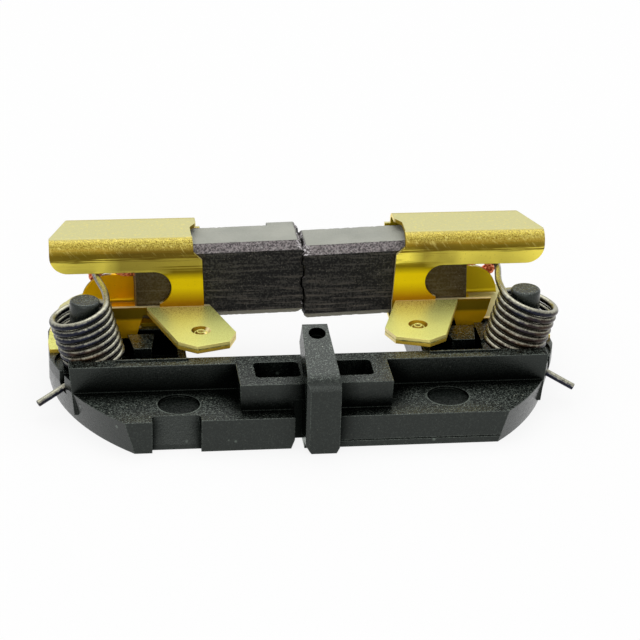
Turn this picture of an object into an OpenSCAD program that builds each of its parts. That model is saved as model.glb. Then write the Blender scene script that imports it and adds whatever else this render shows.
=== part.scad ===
// Twin carbon brush holder for a small commutator motor: a moulded base with two folded brass brush
// boxes, two chamfered brushes, two torsion springs on posts and two braided shunts.
// Millimetres. X runs along the brushes, +Y points to the motor side, Z = 0 is the base's underside,
// X = 0 is its middle plane and Y = 0 the front face of its upright wall.

/* [Brushes] */
// Thickness of a brush, front to back
brush_w = 5.7; // [4.5:0.05:7]
// Height of a brush
brush_h = 8.25; // [6.5:0.05:10]
// Length of a new brush
brush_l = 17.2; // [13:0.1:19]
// Chamfer along the four long edges of a brush
brush_edge = 0.8; // [0.2:0.05:1.1]
// Length of square back edge left at the left brush's contact end
brush_square = 3.2; // [0:0.1:6]
// Where the two brushes meet, right of the middle plane
meet_x = 0.5; // [-2:0.1:2]
// Gap between the brush ends at its narrowest
meet_gap = 0.06; // [0.04:0.01:0.3]
// Upward tilt of the left brush towards the middle
left_tilt = 1.2; // [0:0.1:1.4]
// Downward tilt of the right brush towards the middle
right_tilt = 1.95; // [0:0.05:2]
// Height of the left brush's outer end above the box floor
left_lift = 0.39; // [0.1:0.01:0.6]
// Clearance under the right brush at the box mouth when it is pushed right in
right_lift = 0.08; // [0.06:0.01:0.3]
// Travel of a brush out into its box
travel = 7.5; // [4:0.5:7.5]

/* [Brush boxes] */
// Thickness of the brass sheet
sheet = 0.4; // [0.3:0.05:0.6]
// Clearance of a brush at the front of its box
side_play = 0.15; // [0.05:0.01:0.4]
// Clearance of a brush at the back of its box
back_play = 0.45; // [0.05:0.01:0.6]
// Total clearance of a brush between floor and ceiling
height_play = 1.05; // [0.9:0.05:1.4]
// Distance of the box's front face behind the wall's front face
box_y = 11.3; // [10.8:0.1:13]
// Inner end of a box
box_x = 9.8; // [8:0.1:11]
// Outer end of the box's front skirt
skirt_x = 25.65; // [24:0.05:26]
// Outer radius of the two upper bends
bend_r = 1.3; // [0.9:0.05:1.6]
// Outer radius of the two lower bends
foot_r = 0.9; // [0.65:0.05:1.2]
// Centre of the side slots' round end
slot_x = 15.05; // [13.5:0.05:17]
// Lower edge of the front slot above the deck
slot_low = 3.0; // [2.9:0.05:3.6]
// Upper edge of the front slot above the deck
slot_top = 6.7; // [6:0.05:7.2]
// Lower edge of the back slot above the deck
back_low = 3.5; // [3:0.05:4.4]
// Upper edge of the back slot above the deck
back_top = 7.0; // [6:0.05:7.4]
// Corner radius at the outer end of the skirt
skirt_r = 1.9; // [0.5:0.1:2.2]
// Radius at the outer end of the back wall's lower part
back_r = 3.0; // [2:0.1:3.2]
// Outer end of the back wall's lower part
back_x = 22.2; // [21:0.1:23]
// How far the outer end is slanted back from front to rear
end_slant = 2.3; // [0:0.1:4]
// Depth of the locating leg below the deck
leg_depth = 0.7; // [0.3:0.05:1.2]

/* [Terminal tabs] */
// Width of a tab
tab_w = 6.3; // [4.8:0.1:6.8]
// Length of a tab from its fold
tab_l = 9.5; // [7:0.1:11]
// Height of a tab's upper face above the deck
tab_up = 2.75; // [2.6:0.05:2.8]
// Angle at which a tab is turned towards the middle
tab_turn = 17.5; // [0:0.5:20]
// Middle of a tab's fold
tab_x = 12.95; // [12.8:0.05:13.6]
// Shift of both folds to the right of the mirrored places
tab_shift = 0.5; // [-0.6:0.05:0.6]
// Tip chamfer across the tab
tab_cut_w = 1.4; // [0.5:0.1:2]
// Tip chamfer along the tab
tab_cut_l = 1.75; // [0.5:0.05:2.5]
// Distance of the clinch from the fold
clinch_l = 6.1; // [3:0.1:7]
// Radius of the clinch
clinch_r = 1.0; // [0.6:0.05:1.4]
// Radius of the hole pierced in the clinch
pierce_r = 0.3; // [0.15:0.05:0.45]
// Width of the seam between the tab's two layers
seam = 0.06; // [0.03:0.01:0.1]

/* [Holder] */
// Height of the front flange
flange_h = 3.4; // [2.6:0.1:4]
// Distance of the flange's front edge before the wall's front face
flange_y = 6.7; // [5.8:0.1:8]
// Height of the wing decks
deck_h = 4.6; // [4.2:0.1:5.4]
// Height of the upright wall and of the centre block
wall_h = 6.2; // [5.8:0.1:8]
// Thickness of the upright wall
wall_t = 1.6; // [1.5:0.05:1.6]
// Half length of the upright wall
wall_x = 24.15; // [24.05:0.05:24.2]
// Radius of the rounded outline
outline_r = 26.6; // [25.5:0.1:28]
// Centre of the front arc behind the wall's front face
front_c = 11.9; // [11:0.1:13]
// Centre of the back arc behind the wall's front face
back_c = 6.0; // [5:0.1:8]
// Half width over the straight sides
side_x = 25.9; // [25.7:0.05:26.1]
// Draft of the outline over the flange's height
outline_draft = 0.7; // [0:0.05:1.2]
// Inner side of the wings
wing_x = 12.1; // [11:0.1:12.6]
// Back end of the wings
wing_y = 20.5; // [19:0.1:22]
// Half width of the centre block at its top
block_x = 7.6; // [6.5:0.1:9]
// Depth of the centre block before the wall's front face
block_y = 4.9; // [4:0.1:5.8]
// Draft of the centre block's ends
block_draft = 0.25; // [0:0.05:0.5]
// Near side of the centre windows
window_x = 1.4; // [1:0.1:2.5]
// Width of a centre window
window_w = 4.5; // [2:0.1:5]
// Depth of a centre window
window_d = 3.4; // [1.5:0.1:3.5]
// Back edge of the windows behind the wall's front face
window_y = 0.1; // [-0.4:0.1:0.6]
// Corner radius of the windows
window_r = 0.5; // [0.2:0.1:0.7]
// Radius of a spring post
post_r = 1.5; // [1.1:0.05:1.6]
// Top of a spring post
post_h = 11.6; // [10.5:0.1:13]
// Rounding of the post's upper edge
post_edge = 0.25; // [0.1:0.05:0.5]
// Distance of a post from the middle plane
post_x = 22.34; // [22:0.02:22.6]
// Distance of a post behind the wall's front face
post_y = 4.33; // [4.3:0.01:4.7]
// Radius of the shallow ejector marks
mark_r = 2.1; // [1:0.1:2.4]
// Depth of the ejector marks
mark_d = 0.24; // [0.08:0.02:0.3]
// Distance of the ejector marks from the middle plane
mark_x = 13.47; // [11:0.1:16]
// Middle of the front notch, left of the middle plane
notch_x = 13.9; // [11.5:0.1:15.5]
// Width of the front notch
notch_w = 4.8; // [2:0.1:6]
// Depth of the front notch
notch_d = 1.3; // [0.6:0.1:1.5]
// Inner side of the wing pockets
pocket_x = 12.9; // [12.8:0.1:14]
// Length of the wing pockets
pocket_w = 5.7; // [5:0.1:5.7]
// Front side of the wing pockets
pocket_y = 3.0; // [2.8:0.1:4.5]
// Floor level of the wing pockets
pocket_z = 1.5; // [1:0.1:3]
// Clearance round the locating leg in its slot
leg_play = 0.08; // [0.05:0.01:0.2]

/* [Latch arm] */
// Left side of the arm
arm_left = 1.35; // [1:0.05:2]
// Width of the arm at its root
arm_w = 3.35; // [2.5:0.05:4]
// Width of the arm at its tip
tip_w = 2.5; // [1.8:0.05:2.5]
// Thickness of the arm
arm_t = 1.9; // [1.4:0.1:2.2]
// Distance of the arm's front face before the wall's front face
arm_y = 8.0; // [7.9:0.1:8.6]
// Top of the arm's vertical part
arm_bend_z = 7.6; // [7.4:0.1:8.5]
// Rise of the arm's upper part
arm_rise = 16.5; // [12:0.5:24]
// Distance of the arm's tip behind the wall's front face
tip_y = 0.1; // [-1:0.1:2]
// Outer radius of the arm's bend
arm_r = 1.8; // [0.6:0.1:1.8]
// Width of the slit beside the arm
slit_w = 0.95; // [0.4:0.05:1.5]
// Radius of the blind hole near the tip
eye_r = 0.85; // [0.4:0.05:0.95]
// Depth of the blind hole
eye_d = 1.0; // [0.4:0.1:1.2]

/* [Springs and shunts] */
// Diameter of the spring wire
wire_d = 0.7; // [0.5:0.05:0.75]
// Mean radius of the spring coil
coil_r = 2.87; // [2.8:0.01:2.9]
// Full turns of a coil
coil_turns = 7; // [4:1:7]
// Clearance between neighbouring turns
turn_gap = 0.055; // [0.02:0.005:0.07]
// Outward lean of a coil
coil_lean = 16; // [8:0.5:16.5]
// Clearance between the spring's tip and the brush
tip_gap = 0.06; // [0.04:0.01:0.3]
// Diameter of the braided shunt
braid_d = 1.3; // [0.9:0.05:1.5]
// Radial clearance of the shunt in the brush's hole
braid_gap = 0.1; // [0.05:0.01:0.2]

/* [Hidden] */
$fn = 64;
e = 0.01;
wire_r = wire_d / 2;
// box section
in_w = brush_w + side_play + back_play;
in_h = brush_h + height_play;
box_w = in_w + 2 * sheet;
box_h = in_h + 2 * sheet;
floor_z = deck_h + sheet;
top_z = deck_h + box_h;
brush_y = box_y + sheet + side_play + brush_w / 2;
tab_z = deck_h + tab_up;
lip_z = tab_z - sheet * 2.3;
// springs: seat of the bottom turn, and the coil's height
seat_x = post_x - 0.95;
seat_y = post_y + 0.4;
seat_z = deck_h - 0.28;
seat_r = coil_r + wire_r + 0.45;
pitch = wire_d + turn_gap;
coil_z = deck_h + 0.4;
// brushes
left_z = floor_z + left_lift + brush_l * sin(left_tilt);
right_z = floor_z + right_lift - (box_x - meet_x - travel) * tan(right_tilt);
meet_lean = max(0, brush_h * (sin(right_tilt) - sin(left_tilt)));
// place of the braid in a brush's end face, from the face's middle and lower edge
shunt_dy = 1.25;
shunt_dz = 4.1;
// fine parting step in the flange's front: start, length, depth, height and size
step_x = 2.2;
step_l = 16.4;
step_d = 0.08;
step_z = 0.66;
step_h = 0.12;

// points of an arc, for polygons
function arc(cx, cy, r, a0, a1, n = 8) = [for (i = [0:n])
  let (a = a0 + (a1 - a0) * i / n) [cx + r * cos(a), cy + r * sin(a)]];

// extrudes a profile drawn in Y and Z along X
module along_x(x0, x1) {
  translate([x0, 0, 0]) rotate([90, 0, 90]) linear_extrude(x1 - x0) children();
}

// extrudes a profile drawn in X and Z along Y
module along_y(y0, y1) {
  translate([0, y1, 0]) rotate([90, 0, 0]) linear_extrude(y1 - y0) children();
}

// a rectangle with rounded corners, from its lower left corner
module soft_rect(x, y, w, d, r) {
  translate([x + r, y]) square([w - 2 * r, d]);
  translate([x, y + r]) square([w, d - 2 * r]);
  for (px = [x + r, x + w - r])
    for (py = [y + r, y + d - r])
      translate([px, py]) circle(r);
}

// ---- brushes ----

// a brush lying along X with its contact end at X = 0 and its outer end at X = brush_l
module brush_bar(square_len) {
  c = brush_edge;
  w = brush_w / 2;
  h = brush_h;
  full = [[-w, c], [-w + c, 0], [w - c, 0], [w, c], [w, h - c], [w - c, h], [-w + c, h], [-w, h - c]];
  notched = [[-w, c], [-w + c, 0], [w - c, 0], [w, c], [w, h], [-w + c, h], [-w, h - c]];
  difference() {
    union() {
      along_x(square_len, brush_l) polygon(full);
      if (square_len > 0) along_x(0, square_len + e) polygon(notched);
    }
    // hole for the braid in the outer end
    translate([brush_l - 2.4, shunt_dy, shunt_dz])
      rotate([0, 90, 0]) cylinder(h = 3, r = braid_d / 2 + braid_gap);
  }
}

module left_brush() color("#3a3532") {
  translate([meet_x - meet_gap / 2, brush_y, left_z])
    rotate([0, -left_tilt, 0]) mirror([1, 0, 0]) brush_bar(brush_square);
}

module right_brush() color("#3a3532") {
  translate([meet_x + meet_gap / 2 + meet_lean, brush_y, right_z])
    rotate([0, -right_tilt, 0]) brush_bar(0);
}

// ---- brush boxes ----

// the folded strip's section in Y and Z, grown inwards by g
module box_section(g) {
  w = box_w - 2 * g;
  h = box_h - 2 * g;
  translate([box_y + g, deck_h + g]) {
    translate([foot_r - g, 0]) square([w - 2 * (foot_r - g), h / 2]);
    translate([0, foot_r - g]) square([w, h - foot_r - bend_r + 2 * g]);
    translate([bend_r - g, h / 2]) square([w - 2 * (bend_r - g), h / 2]);
    for (px = [foot_r - g, w - foot_r + g]) translate([px, foot_r - g]) circle(foot_r - g);
    for (px = [bend_r - g, w - bend_r + g]) translate([px, h - bend_r + g]) circle(bend_r - g);
  }
}

// a side slot, round at its inner end and open at its outer end
module slot_shape(low, top) {
  r = (top - low) / 2;
  translate([slot_x, deck_h + low + r]) circle(r);
  translate([slot_x, deck_h + low]) square([skirt_x, 2 * r]);
}

// the corner left over outside a quarter round of radius r, centred on x, z
module outer_corner(x, z, r, up) {
  difference() {
    translate([x, up ? z : z - r - e]) square([r + e, r + e]);
    translate([x, z]) circle(r);
  }
}

// everything cut out of the front wall
module front_cuts() {
  slot_shape(slot_low, slot_top);
  // open from the deck up to the slot, outside the lip wall
  translate([lip_wall_x, floor_z]) square([skirt_x, slot_low]);
  // rounded outer corner of the skirt
  outer_corner(skirt_x - skirt_r, deck_h + slot_top + skirt_r, skirt_r, false);
  // slanted inner edge of the front wall, cut back at the bend
  polygon([[box_x - 1, deck_h + 2], [box_x - e, deck_h + 2], [box_x + 0.27, top_z - 2.2],
    [box_x + 1.15, top_z - bend_r - 0.1], [box_x + 1.3, top_z + 1], [box_x - 1, top_z + 1]]);
}
lip_wall_x = 14.4;

// everything cut out of the back wall
module back_cuts() {
  slot_shape(back_low, back_top);
  translate([back_x, floor_z]) square([skirt_x, back_top - sheet]);
  outer_corner(back_x - back_r, deck_h + back_low - back_r, back_r, true);
  translate([back_x - back_r, deck_h + back_low]) square([skirt_x, 1]);
}

// outline of the floor plate outside the tube, in X and Y
module plate_outline() {
  polygon([[20.3, seat_y + seat_r - 1], [24.3, 6.9], [side_x - 0.05, 6.9], [side_x + 0.05, 8.9],
    [side_x - 0.15, box_y], [24.85, 16], [24.2, 17.8], [23.2, 19.4], [22.1, 20.3], [20.9, 19.9],
    [20.3, box_y + box_w]]);
}

// the locating leg and the strap above it, in the plane of the front wall
module leg_outline() {
  low = deck_h - leg_depth;
  polygon(concat([[box_x, lip_z], [15.9, lip_z], [16.14, deck_h + 1.8], [16.73, deck_h - 0.2]],
    arc(17.2, low + 0.45, 0.45, 190, 270, 4), arc(18.7, low + 0.5, 0.5, 270, 340, 4),
    [[19.5, deck_h + 0.2], [19.86, deck_h + 0.9], [20.3, tab_z], [box_x, tab_z]]));
}

// plan of a terminal tab, inset by g on its free sides, fold at the origin
module tab_plan(g) {
  w = tab_w / 2 - g;
  l = tab_l - g;
  polygon([[-w, 2], [w, 2], [w, -l + tab_cut_l], [w - tab_cut_w, -l], [-w + tab_cut_w, -l], [-w, -l + tab_cut_l]]);
}

// both layers of the tab with the seam between them and the clinch that holds them together
module terminal_tab(x) {
  difference() {
    union() {
      intersection() {
        translate([x, box_y, tab_z - 2 * sheet]) rotate([0, 0, -tab_turn])
          linear_extrude(2 * sheet) tab_plan(0);
        translate([0, -50, 0]) cube([100, box_y + 50 + sheet, 50]);
      }
      clinch_at(x) translate([0, 0, -2 * sheet - 0.25]) cylinder(h = 0.4, r1 = clinch_r - 0.25, r2 = clinch_r);
    }
    difference() {
      translate([x, box_y, tab_z - sheet - seam / 2]) rotate([0, 0, -tab_turn])
        linear_extrude(seam) difference() {
          tab_plan(-1);
          tab_plan(0.35);
        }
      translate([0, box_y - 0.4, 0]) cube([100, 50, 50]);
    }
    clinch_at(x) {
      difference() {
        translate([0, 0, -0.3]) cylinder(h = 0.31, r1 = clinch_r - 0.3, r2 = clinch_r);
        translate([0, 0, -0.31]) cylinder(h = 0.22, r1 = pierce_r + 0.3, r2 = pierce_r + 0.15);
      }
      translate([0, 0, -2]) cylinder(h = 3, r = pierce_r);
    }
  }
}

module clinch_at(x) {
  translate([x, box_y, tab_z]) rotate([0, 0, -tab_turn]) translate([0, -clinch_l, 0]) children();
}

// a right hand box with its tab's fold at x
module brush_box(x) {
  difference() {
    union() {
      difference() {
        along_x(box_x, skirt_x) box_section(0);
        along_x(box_x - 1, skirt_x + 1) box_section(sheet);
        along_y(box_y - 1, box_y + bend_r) front_cuts();
        along_y(box_y + box_w - bend_r, box_y + box_w + 1) back_cuts();
        // slanted outer end
        translate([0, 0, floor_z]) linear_extrude(box_h)
          polygon([[skirt_x + 1, box_y + bend_r], [skirt_x, box_y + bend_r],
            [skirt_x - end_slant, box_y + box_w + e], [skirt_x + 1, box_y + box_w + e]]);
        // rounded outer end of the floor
        translate([0, 0, deck_h - e]) linear_extrude(sheet + 2 * e)
          polygon([[skirt_x + 1, box_y - 1], [skirt_x + 0.1, box_y - 1], [skirt_x + 0.1, box_y + 0.4], [25.3, 14.5],
            [24.5, 17.4], [23.9, box_y + box_w + e], [skirt_x + 1, box_y + box_w + e]]);
        // inner end of the top, stepped back at the front bend
        translate([0, 0, top_z - bend_r - 0.1]) linear_extrude(bend_r + 1)
          polygon([[box_x - 1, box_y + bend_r - e], [box_x + 1.3, box_y + bend_r - e], [box_x + 1.3, brush_y + 0.2],
            [box_x + 0.6, brush_y + 1.3], [box_x + 0.6, box_y + box_w + 1], [box_x - 1, box_y + box_w + 1]]);
        // relief of the floor beside the leg
        translate([lip_wall_x, box_y - 1, deck_h - e]) cube([1.9, 1 + foot_r + 0.3, sheet + 2 * e]);
      }
      along_y(box_y, box_y + sheet) leg_outline();
      translate([0, 0, deck_h]) linear_extrude(sheet) plate_outline();
      terminal_tab(x);
    }
    // clear of the spring's coil
    coil_space(0);
  }
}

module left_box() color("#d8c860") mirror([1, 0, 0]) brush_box(tab_x - tab_shift);
module right_box() color("#d8c860") brush_box(tab_x + tab_shift);

// ---- springs and shunts ----

// a point on a smooth curve through p0..p3, between p1 and p2
function spline(p0, p1, p2, p3, t) = 0.5 * (2 * p1 + (p2 - p0) * t
  + (2 * p0 - 5 * p1 + 4 * p2 - p3) * t * t + (3 * p1 - p0 - 3 * p2 + p3) * t * t * t);
function smooth_path(p, n) = concat([for (i = [0:len(p) - 2]) for (j = [0:n - 1])
  spline(p[max(i - 1, 0)], p[i], p[i + 1], p[min(i + 2, len(p) - 1)], j / n)], [p[len(p) - 1]]);
function unit(v) = v / norm(v);

// a round wire of radius r along the points p, as one closed solid
module wire(p, r, sides) {
  n = len(p);
  d = [for (i = [0:n - 1]) unit(p[min(i + 1, n - 1)] - p[max(i - 1, 0)])];
  // frames carried along the wire without twisting
  u0 = unit(cross(d[0], abs(d[0].z) < 0.8 ? [0, 0, 1] : [1, 0, 0]));
  u = [for (i = 0, a = u0; i < n; i = i + 1, a = i < n ? unit(a - d[i] * (a * d[i])) : a) a];
  pts = [for (i = [0:n - 1]) let (v = cross(d[i], u[i])) for (k = [0:sides - 1])
    p[i] + r * (cos(360 * k / sides) * u[i] + sin(360 * k / sides) * v)];
  side_faces = [for (i = [0:n - 2]) for (k = [0:sides - 1]) let (m = (k + 1) % sides)
    [i * sides + k, i * sides + m, (i + 1) * sides + m, (i + 1) * sides + k]];
  polyhedron(pts, concat([[for (k = [sides - 1:-1:0]) k]], side_faces,
    [[for (k = [0:sides - 1]) (n - 1) * sides + k]]), convexity = 10);
}

// centre line of a right hand spring: lower leg, leaning coil, upper leg along the brush's end
tip_x = meet_x + meet_gap / 2 + meet_lean + brush_l * cos(right_tilt);
function coil_point(a) = let (along = a / 360 * pitch, q = coil_r * [cos(-90 - a), sin(-90 - a)])
  [seat_x + q.x * cos(coil_lean) + along * sin(coil_lean), seat_y + q.y,
   coil_z + along * cos(coil_lean) - q.x * sin(coil_lean)];
coil_step = 22.5;
coil_end = 360 * coil_turns + 90;
coil = [for (a = [0:coil_step:coil_end]) coil_point(a)];
coil_top = coil_point(coil_end);
coil_foot = coil_point(0);
function upper_leg(end_x) = [coil_top, coil_top + [0, 1.5, 0], [coil_top.x + 0.15, 8.3, leg_z + 0.12],
  [coil_top.x + 0.7, box_y + 0.3, leg_z], [coil_top.x + 0.6, box_y + 1.5, leg_z + 0.05],
  [end_x + wire_r + tip_gap + 1.3, brush_y - 0.6, leg_z], [end_x + wire_r + tip_gap, brush_y + 0.1, leg_z - 0.1]];
// the upper leg passes just under the skirt
leg_z = deck_h + slot_top - wire_r - 0.15;
lower_leg = [[27.2, 1.0, coil_z - 3.1], [25.7, 1.6, coil_z - 2.4], [24.4, 2.1, coil_z - 1.75],
  [22.9, 2.05, coil_z - 0.62], coil_foot];
function spring_path(end_x) = concat([lower_leg[0]], [for (q = smooth_path(lower_leg, 4)) if (q != lower_leg[0] && q != coil_foot) q],
  coil, [for (q = smooth_path(upper_leg(end_x), 4)) if (q != coil_top) q]);

module left_spring() color("#70747c") mirror([1, 0, 0]) wire(spring_path(left_tip_x), wire_r, 9);
module right_spring() color("#70747c") wire(spring_path(tip_x), wire_r, 9);
left_tip_x = -(meet_x - meet_gap / 2 - brush_l * cos(left_tilt));

// the braid from a brush's outer end at x, z, over the back wall and down to its weld
function shunt_path(x, z) = [[x - 1.8, brush_y + shunt_dy, z], [x + 0.1, brush_y + shunt_dy, z],
  [x + 1.3, brush_y + shunt_dy + 0.35, z - 0.1], [x + 2.5, box_y + box_w - 0.4, max(z - 0.4, deck_h + back_low + braid_d / 2 + 0.3)],
  [x + 3.7, box_y + box_w + 0.85, deck_h + 3.5], [x + 4.1, box_y + box_w + 1.5, deck_h + 2.6],
  [x + 3.2, box_y + box_w + 1.6, deck_h + 1.85], [x + 1.5, box_y + box_w + 1.15, deck_h + 1.6],
  [x, box_y + box_w + braid_d / 2 + 0.02, deck_h + 1.7], [x - 1.6, box_y + box_w + braid_d / 2 + 0.02, deck_h + 1.8]];
module left_braid() color("#b87860") mirror([1, 0, 0])
  wire(smooth_path(shunt_path(left_tip_x, left_z - brush_l * sin(left_tilt) + shunt_dz), 4), braid_d / 2, 10);
module right_braid() color("#b87860")
  wire(smooth_path(shunt_path(tip_x, right_z + brush_l * sin(right_tilt) + shunt_dz), 4), braid_d / 2, 10);

// ---- holder ----

// solid bounded by an arc of the outline, drafted over the flange's height
module outline_round(c) {
  translate([0, c, 0]) rotate_extrude($fn = 160)
    polygon([[0, 0], [outline_r - outline_draft, 0], [outline_r, flange_h], [outline_r, post_h + 1], [0, post_h + 1]]);
}

module base_body() {
  intersection() {
    union() {
      // flange, wall and the two wings
      translate([-40, -flange_y, 0]) cube([80, flange_y + wall_t, flange_h]);
      for (s = [-1, 1]) {
        translate([s > 0 ? wing_x : -40, 0, 0]) cube([40 - wing_x, wing_y, deck_h]);
      }
      // centre block with drafted ends
      along_y(-block_y, e) polygon([[-block_x + block_draft, 0], [block_x - block_draft, 0],
        [block_x, wall_h], [-block_x, wall_h]]);
    }
    outline_round(front_c);
    outline_round(back_c);
    translate([-side_x, -20, -1]) cube([2 * side_x, 60, 40]);
  }
  // upright wall with drafted ends, and a fine raised line near its back edge
  along_y(0, wall_t) polygon([[-wall_x + 0.5, 1], [wall_x - 0.5, 1], [wall_x, wall_h], [-wall_x, wall_h]]);
  for (s = [-1, 1])
    translate([s > 0 ? wing_x + 0.1 : -19.4, wall_t - 0.5, wall_h - e]) cube([19.3 - wing_x, 0.25, 0.15 + e]);
}

// side profile of the latch arm in Y and Z
module arm_profile() {
  m = tan(arm_rise);
  ye = tip_y;
  z0 = arm_bend_z - arm_r * (1 - m);
  top_at = arm_bend_z + 0.25;
  c = [-arm_y + arm_r, top_at + m * arm_r - arm_r / cos(arm_rise)];
  polygon(concat([[-arm_y, 0]], arc(c.x, c.y, arm_r, 180, 90 + arm_rise, 8),
    [[ye, top_at + m * (ye + arm_y)], [ye, top_at + m * (ye + arm_y) - arm_t],
      [-arm_y + arm_t + 0.5, top_at + m * (arm_t + 0.5) - arm_t / cos(arm_rise) - 0.12],
      [-arm_y + arm_t, top_at - arm_t - 0.4], [-arm_y + arm_t, 0]]));
}

module latch_arm() {
  mid = -arm_left + arm_w / 2;
  tip_z = arm_bend_z + 0.25 + tan(arm_rise) * (tip_y + arm_y);
  difference() {
    intersection() {
      along_x(-arm_left, -arm_left + arm_w) arm_profile();
      // front view: straight leg, then tapering to the tip, with chamfered lower corners
      along_y(-arm_y - 1, tip_y + 1) polygon([[-arm_left + 0.55, 0], [-arm_left + arm_w - 0.3, 0],
        [-arm_left + arm_w, 0.6], [-arm_left + arm_w, arm_bend_z], [mid + tip_w / 2 - 0.1, tip_z],
        [mid - tip_w / 2 - 0.1, tip_z], [-arm_left, arm_bend_z], [-arm_left, 0.75]]);
    }
    // chamfer down the left front edge
    translate([-arm_left, -arm_y, -1]) rotate([0, 0, 45]) translate([-0.25, -1, 0]) cube([0.5, 2, arm_bend_z + 1.2]);
    // blind hole near the tip, square to the sloping face
    translate([mid, tip_y - 1.3, tip_z - tan(arm_rise) * 1.3]) rotate([arm_rise, 0, 0])
      translate([0, 0, -eye_d]) cylinder(h = eye_d + 1, r = eye_r);
  }
}

module post() {
  translate([post_x, post_y, 0]) rotate_extrude()
    polygon(concat([[0, pocket_z], [post_r, pocket_z]],
      arc(post_r - post_edge, post_h - post_edge, post_edge, 0, 90, 5), [[0, post_h]]));
}

// room for a leaning coil, from height z up
module coil_space(z) {
  translate([seat_x + 0.35, seat_y + 0.25, z]) cylinder(h = 20, r = seat_r);
}

// what is cut out of a wing: spring seat, wire groove, pocket with its pillar, and the leg's slot
module wing_cuts(wider) {
  difference() {
    coil_space(seat_z);
    post();
  }
  translate([0, 0, coil_z - 2.45]) linear_extrude(wall_h)
    polygon([[coil_foot.x, wall_t + 0.02], [24.6, wall_t + 0.02], [26.5, 0.9], [30, 0.2], [30, 2.75], [coil_foot.x, 2.75]]);
  difference() {
    translate([pocket_x, pocket_y, pocket_z]) cube([pocket_w, box_y + sheet + leg_play - pocket_y, deck_h]);
    translate([0, 0, pocket_z - 1]) linear_extrude(deck_h - pocket_z + 1)
      polygon([[15.5 + wider / 4, 7.3], [17.3 + wider, 7.3], [17.75 + wider, 10.7], [15.05 + wider / 4, 10.7]]);
  }
  translate([16.4, box_y - leg_play, deck_h - leg_depth - leg_play])
    cube([3.5, sheet + 2 * leg_play, leg_depth + 1]);
}

module base() color("#2c3230") {
  difference() {
    union() {
      difference() {
        base_body();
        for (s = [0, 1]) mirror([s, 0, 0]) {
          wing_cuts(s > 0 ? 0 : 0.7);
          // window in the centre block, ejector mark in the flange
          translate([0, 0, -1]) linear_extrude(wall_h + 2)
            soft_rect(window_x, window_y - window_d, window_w, window_d, window_r);
          translate([mark_x, -flange_y / 2 + 0.35, flange_h - mark_d]) cylinder(h = 1, r = mark_r);
        }
        // notch in the front edge, shallower near the bottom
        intersection() {
          translate([0, 0, -1]) linear_extrude(flange_h + 2)
            soft_rect(-notch_x - notch_w / 2, -flange_y - 2, notch_w, notch_d + 2, 0.5);
          along_x(-notch_x - notch_w, -notch_x + notch_w) polygon([[-flange_y - 3, -1], [-flange_y + notch_d / 2, -1],
            [-flange_y + notch_d / 2, 0.5], [-flange_y + notch_d + 0.02, flange_h], [-flange_y + notch_d + 0.02, flange_h + 1],
            [-flange_y - 3, flange_h + 1]]);
        }
        // slit beside the arm, with the flange's lower corner cut off
        translate([-arm_left - slit_w, -flange_y - 1, -1]) cube([slit_w, flange_y - 3.5, flange_h + 2]);
        along_y(-flange_y - 1, -4.5) polygon([[-arm_left - slit_w - 0.35, -e], [-arm_left - slit_w + e, -e],
          [-arm_left - slit_w + e, 1]]);
        // fine parting step along the right half
        translate([step_x, -flange_y - 1, step_z]) cube([step_l, 1 + step_d, step_h]);
      }
      for (s = [0, 1]) mirror([s, 0, 0]) post();
      latch_arm();
    }
  }
}

base();  // holder
left_box();  // left_brush_box
right_box();  // right_brush_box
left_brush();  // left_carbon_brush
right_brush();  // right_carbon_brush
left_spring();  // left_brush_spring
right_spring();  // right_brush_spring
left_braid();  // left_shunt
right_braid();  // right_shunt
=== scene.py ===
"""Finishes the twin carbon brush holder: brass boxes, moulded base, carbon brushes, springs and braids."""

import math

import bmesh
import bpy
from mathutils import Matrix, Vector, noise


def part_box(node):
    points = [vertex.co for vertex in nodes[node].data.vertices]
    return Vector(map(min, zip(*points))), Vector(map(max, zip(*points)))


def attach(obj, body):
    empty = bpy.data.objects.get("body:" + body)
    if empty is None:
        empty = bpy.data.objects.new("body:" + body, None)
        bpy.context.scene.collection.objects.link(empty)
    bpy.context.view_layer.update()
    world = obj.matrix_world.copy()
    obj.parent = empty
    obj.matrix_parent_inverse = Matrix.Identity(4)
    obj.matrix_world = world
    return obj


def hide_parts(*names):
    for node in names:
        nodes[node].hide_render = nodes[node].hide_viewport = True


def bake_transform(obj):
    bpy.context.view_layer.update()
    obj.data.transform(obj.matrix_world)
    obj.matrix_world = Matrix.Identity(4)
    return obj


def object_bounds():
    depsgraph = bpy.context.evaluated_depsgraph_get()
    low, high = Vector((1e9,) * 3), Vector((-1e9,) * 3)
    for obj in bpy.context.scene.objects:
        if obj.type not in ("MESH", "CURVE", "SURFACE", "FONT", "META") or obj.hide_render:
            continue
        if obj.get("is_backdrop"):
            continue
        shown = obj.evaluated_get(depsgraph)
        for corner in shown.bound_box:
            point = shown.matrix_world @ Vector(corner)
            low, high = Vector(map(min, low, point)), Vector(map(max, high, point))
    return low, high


bl_info = {
    "name": "Brush Holder Finisher",
    "version": (1, 0, 0),
    "blender": (4, 5, 0),
    "location": "View3D > Sidebar > Brush Holder",
    "description": "Dresses the brush holder's solids and builds its brushes, springs and braids",
    "category": "Object",
}

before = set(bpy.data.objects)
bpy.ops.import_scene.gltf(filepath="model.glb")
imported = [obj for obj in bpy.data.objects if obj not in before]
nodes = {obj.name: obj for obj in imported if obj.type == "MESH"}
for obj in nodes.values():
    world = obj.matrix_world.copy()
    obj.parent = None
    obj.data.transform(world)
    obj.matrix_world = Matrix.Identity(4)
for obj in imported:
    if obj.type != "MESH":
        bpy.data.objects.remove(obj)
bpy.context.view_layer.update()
MM = 0.001
SIDES = ("left", "right")
# height of the wing decks above the underside, in millimetres
DECK = 4.6


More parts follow.
